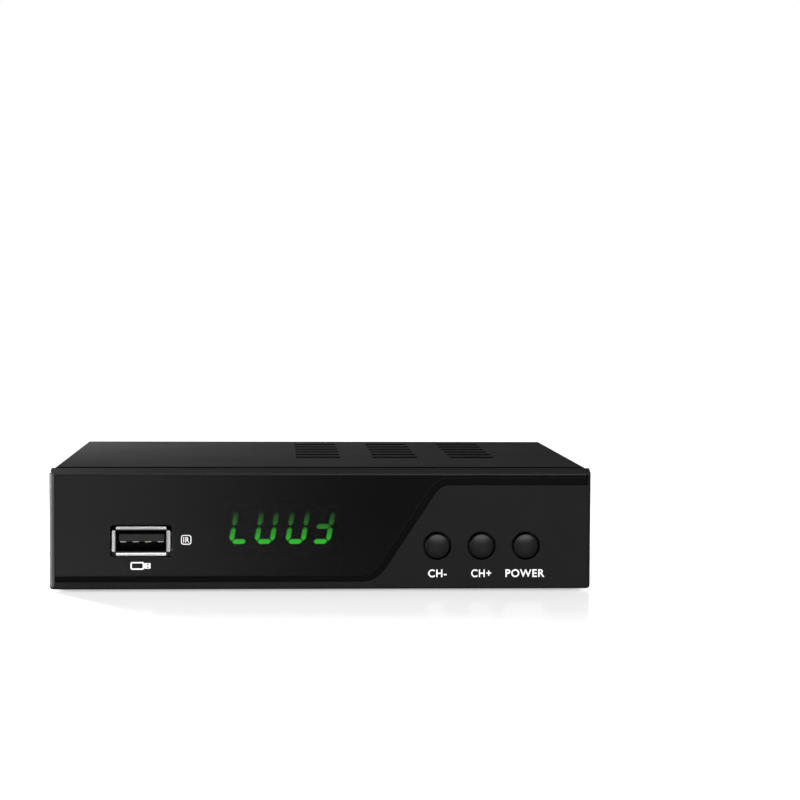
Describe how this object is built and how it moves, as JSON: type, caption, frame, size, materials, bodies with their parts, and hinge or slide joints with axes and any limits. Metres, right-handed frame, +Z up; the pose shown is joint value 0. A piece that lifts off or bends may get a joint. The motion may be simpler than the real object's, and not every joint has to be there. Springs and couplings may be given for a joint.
{
  "type": "satellite television receiver",
  "caption": "Compact black set-top satellite receiver with a smoked display window, push buttons, a front USB socket and rear aerial, video, audio and power sockets",
  "frame": {"origin": "under the middle of the footprint, sockets included, on the table under the rubber feet", "axes": "+X to the right of someone facing the front, the front faces -Y, +Z up"},
  "size_m": [0.14, 0.1014, 0.032],
  "materials": {
    "cover_paint": "satin black paint with a fine grain on folded steel",
    "bezel_plastic": "black moulded plastic with a fine matt texture",
    "smoked_window": "polished smoked acrylic",
    "rubber": "matt black rubber",
    "black_screw": "black oxide",
    "button_plastic": "satin black plastic",
    "switch_plastic": "moulded black plastic",
    "board_laminate": "green solder mask on glass laminate",
    "zinc_screw": "bright zinc",
    "display_plastic": "matt black plastic",
    "display_glow": "green diffusing epoxy",
    "infrared_epoxy": "dark infrared-passing epoxy",
    "nickel": "bright nickel plate",
    "socket_plastic": "moulded black plastic",
    "gilt_contact": "gold flash",
    "chip_epoxy": "moulded black epoxy",
    "black_anodised": "black anodised",
    "crystal_can": "bright drawn steel",
    "capacitor_sleeve": "dark sleeve over an aluminium can",
    "ferrite": "grey ferrite",
    "white_plastic": "white moulded plastic",
    "ribbon": "grey PVC ribbon",
    "tin_plate": "tinned steel sheet",
    "yellow_plastic": "yellow moulded plastic",
    "red_plastic": "red moulded plastic"
  },
  "bodies": {
    "case": {"top_cover": "cover_paint", "bottom_chassis": "cover_paint", "front_bezel": "bezel_plastic", "display_window": "smoked_window", "rubber_feet": "rubber", "rear_cover_screws": "black_screw", "side_cover_screws": "black_screw", "button_switches": "switch_plastic", "front_board": "board_laminate", "front_board_screws": "zinc_screw", "display_housing": "display_plastic", "display_segments": "display_glow", "infrared_receiver": "infrared_epoxy", "usb_shell": "nickel", "usb_tongue": "socket_plastic", "usb_contacts": "gilt_contact", "main_board": "board_laminate", "board_standoffs": "zinc_screw", "board_screws": "zinc_screw", "main_chip": "chip_epoxy", "heatsink": "black_anodised", "memory_chips": "chip_epoxy", "quartz_crystal": "crystal_can", "capacitors": "capacitor_sleeve", "power_coils": "ferrite", "front_board_header": "white_plastic", "main_board_header": "white_plastic", "ribbon_cable": "ribbon", "tuner_can": "tin_plate", "tuner_lid": "tin_plate", "lnb_in_socket": "nickel", "lnb_out_socket": "nickel", "lnb_insulators": "white_plastic", "lnb_washers": "nickel", "lnb_nuts": "nickel", "video_socket_shell": "nickel", "video_socket_tongue": "socket_plastic", "av_jack_block": "socket_plastic", "av_jack_sleeves": "nickel", "av_jack_insulators": "white_plastic", "composite_jack_collar": "yellow_plastic", "left_audio_collar": "white_plastic", "right_audio_collar": "red_plastic", "power_socket_body": "socket_plastic", "power_socket_pin": "nickel"},
    "channel_down_key": {"channel_down_button": "button_plastic", "channel_down_plunger": "switch_plastic"},
    "channel_up_key": {"channel_up_button": "button_plastic", "channel_up_plunger": "switch_plastic"},
    "power_key": {"power_button": "button_plastic", "power_plunger": "switch_plastic"}
  },
  "joints": [
    {"name": "channel_down_press", "type": "slide", "parent": "case", "child": "channel_down_key", "axis": [0, 1, 0], "range_m": [0, 0.0005], "stiffness_N_per_m": 2000, "springref_m": -0.0001},
    {"name": "channel_up_press", "type": "slide", "parent": "case", "child": "channel_up_key", "axis": [0, 1, 0], "range_m": [0, 0.0005], "stiffness_N_per_m": 2000, "springref_m": -0.0001},
    {"name": "power_press", "type": "slide", "parent": "case", "child": "power_key", "axis": [0, 1, 0], "range_m": [0, 0.0005], "stiffness_N_per_m": 2000, "springref_m": -0.0001}
  ]
}
